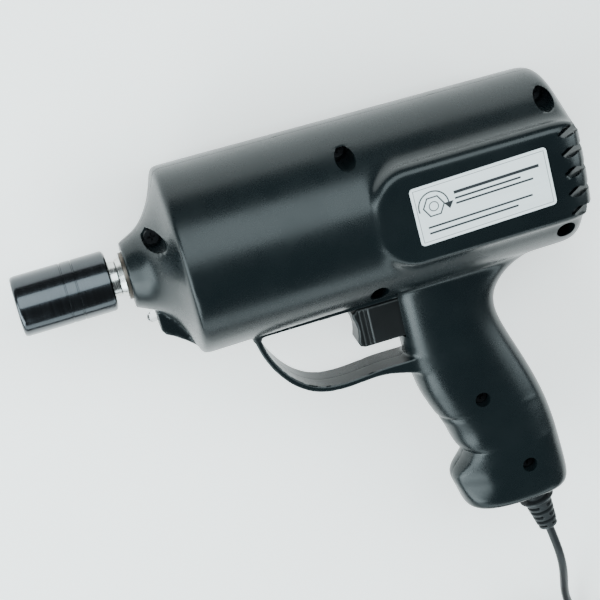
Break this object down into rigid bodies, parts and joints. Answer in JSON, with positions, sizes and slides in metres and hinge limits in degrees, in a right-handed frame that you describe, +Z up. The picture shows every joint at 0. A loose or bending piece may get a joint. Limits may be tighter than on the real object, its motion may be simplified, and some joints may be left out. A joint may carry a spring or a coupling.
{
  "type": "impact wrench",
  "caption": "Pistol-grip electric impact wrench with a half-inch square drive, a fitted socket, a trigger guard and a coiled low-voltage cord with a lighter plug.",
  "frame": {"origin": "centre of the bottom of the tool's box as it lies on its right side, cord left out", "axes": "+X along the barrel from the socket to the rear, +Y towards the tool's top, +Z up, which is the tool's left side"},
  "size_m": [0.2964, 0.4253, 0.0975],
  "materials": {
    "housing_plastic": "satin moulded nylon, blue-black",
    "trigger_plastic": "matte black moulded",
    "label_film": null,
    "black_oxide": "glossy black oxide over steel",
    "bright_steel": "bright turned steel",
    "dark_steel": "hardened steel, oiled",
    "screw_steel": "dark zinc",
    "bronze": "sintered bronze",
    "can_steel": "black painted",
    "ferrite": "ground ferrite",
    "core_steel": "stacked laminations",
    "copper": "enamelled copper",
    "carbon": "pressed carbon",
    "inner_plastic": "moulded",
    "fan_plastic": "moulded",
    "spring_steel": "drawn wire",
    "capacitor_sleeve": "shrink sleeve",
    "wire_red": "soft insulation",
    "lamp_clear": "clear epoxy",
    "cord_rubber": "satin black sheath",
    "boot_rubber": "ribbed moulding",
    "tie_strap": "woven strap",
    "plug_plastic": "moulded black",
    "plug_metal": "plated",
    "fuse_glass": "clear tube"
  },
  "bodies": {
    "tool": {"housing_left": "housing_plastic", "housing_right": "housing_plastic", "housing_screws": "screw_steel", "rating_label": "label_film", "nose_bush": "bronze", "front_bearing": "bright_steel", "rear_bearing": "bright_steel", "motor_can": "can_steel", "field_magnets": "ferrite", "motor_end_bell": "inner_plastic", "motor_screws": "screw_steel", "brush_card": "inner_plastic", "brush_holders": "bronze", "upper_brush_spring": "spring_steel", "lower_brush_spring": "spring_steel", "suppression_capacitor": "capacitor_sleeve", "trigger_spring": "spring_steel", "trigger_switch": "inner_plastic", "reversing_switch": "inner_plastic", "motor_leads": "wire_red", "selector_leads": "wire_red", "lamp_bulb": "lamp_clear", "lamp_leads": "wire_red", "strain_relief": "boot_rubber", "cord_inside": "cord_rubber", "cord_clamp": "inner_plastic", "cord_clamp_screws": "screw_steel", "cord_lead": "cord_rubber", "cord_coil": "cord_rubber", "cord_tie": "tie_strap", "cord_tail": "cord_rubber", "plug_boot": "plug_plastic", "plug_body": "plug_plastic", "plug_cap": "plug_plastic", "plug_spring": "spring_steel", "plug_side_contacts": "plug_metal"},
    "output": {"anvil": "bright_steel", "pilot_bush": "bronze", "friction_ring": "spring_steel"},
    "socket": {"impact_socket": "black_oxide"},
    "rotor": {"flywheel": "dark_steel", "striker_pin": "dark_steel", "striker_spring": "spring_steel", "motor_shaft": "dark_steel", "armature_core": "core_steel", "armature_windings": "copper", "commutator": "copper", "cooling_fan": "fan_plastic"},
    "striker": {"striker_dog": "dark_steel"},
    "upper_brush": {"upper_brush": "carbon"},
    "lower_brush": {"lower_brush": "carbon"},
    "trigger": {"trigger": "trigger_plastic"},
    "selector": {"direction_selector": "trigger_plastic"},
    "plug_contact": {"plug_tip": "plug_metal", "plug_fuse": "fuse_glass"}
  },
  "joints": [
    {"name": "output_spin", "type": "hinge", "parent": "tool", "child": "output", "pos_m": [-0.08275, 0.08044, 0.0486], "axis": [1, 0, 0], "continuous": true},
    {"name": "socket_pull", "type": "slide", "parent": "output", "child": "socket", "axis": [-1, 0, 0], "range_m": [0, 0.02]},
    {"name": "rotor_spin", "type": "hinge", "parent": "tool", "child": "rotor", "pos_m": [-0.01275, 0.08044, 0.0486], "axis": [1, 0, 0], "continuous": true},
    {"name": "striker_swing", "type": "hinge", "parent": "rotor", "child": "striker", "pos_m": [-0.05925, 0.08769, 0.06116], "axis": [1, 0, 0], "range_deg": [-13, 0], "stiffness_Nm_per_rad": 0.2, "deforming": ["striker_spring"]},
    {"name": "trigger_pull", "type": "slide", "parent": "tool", "child": "trigger", "axis": [1, 0, 0], "range_m": [0, 0.006], "stiffness_N_per_m": 500, "deforming": ["trigger_spring"]},
    {"name": "selector_slide", "type": "slide", "parent": "tool", "child": "selector", "axis": [0, 0, 1], "range_m": [-0.003, 0.003]},
    {"name": "upper_brush_feed", "type": "slide", "parent": "tool", "child": "upper_brush", "axis": [0, 1, 0], "range_m": [0, 0.0035], "stiffness_N_per_m": 150, "deforming": ["upper_brush_spring"]},
    {"name": "lower_brush_feed", "type": "slide", "parent": "tool", "child": "lower_brush", "axis": [0, -1, 0], "range_m": [0, 0.0035], "stiffness_N_per_m": 150, "deforming": ["lower_brush_spring"]},
    {"name": "plug_tip_press", "type": "slide", "parent": "tool", "child": "plug_contact", "axis": [1, 0, 0], "range_m": [0, 0.0025], "stiffness_N_per_m": 500, "deforming": ["plug_spring"]}
  ]
}
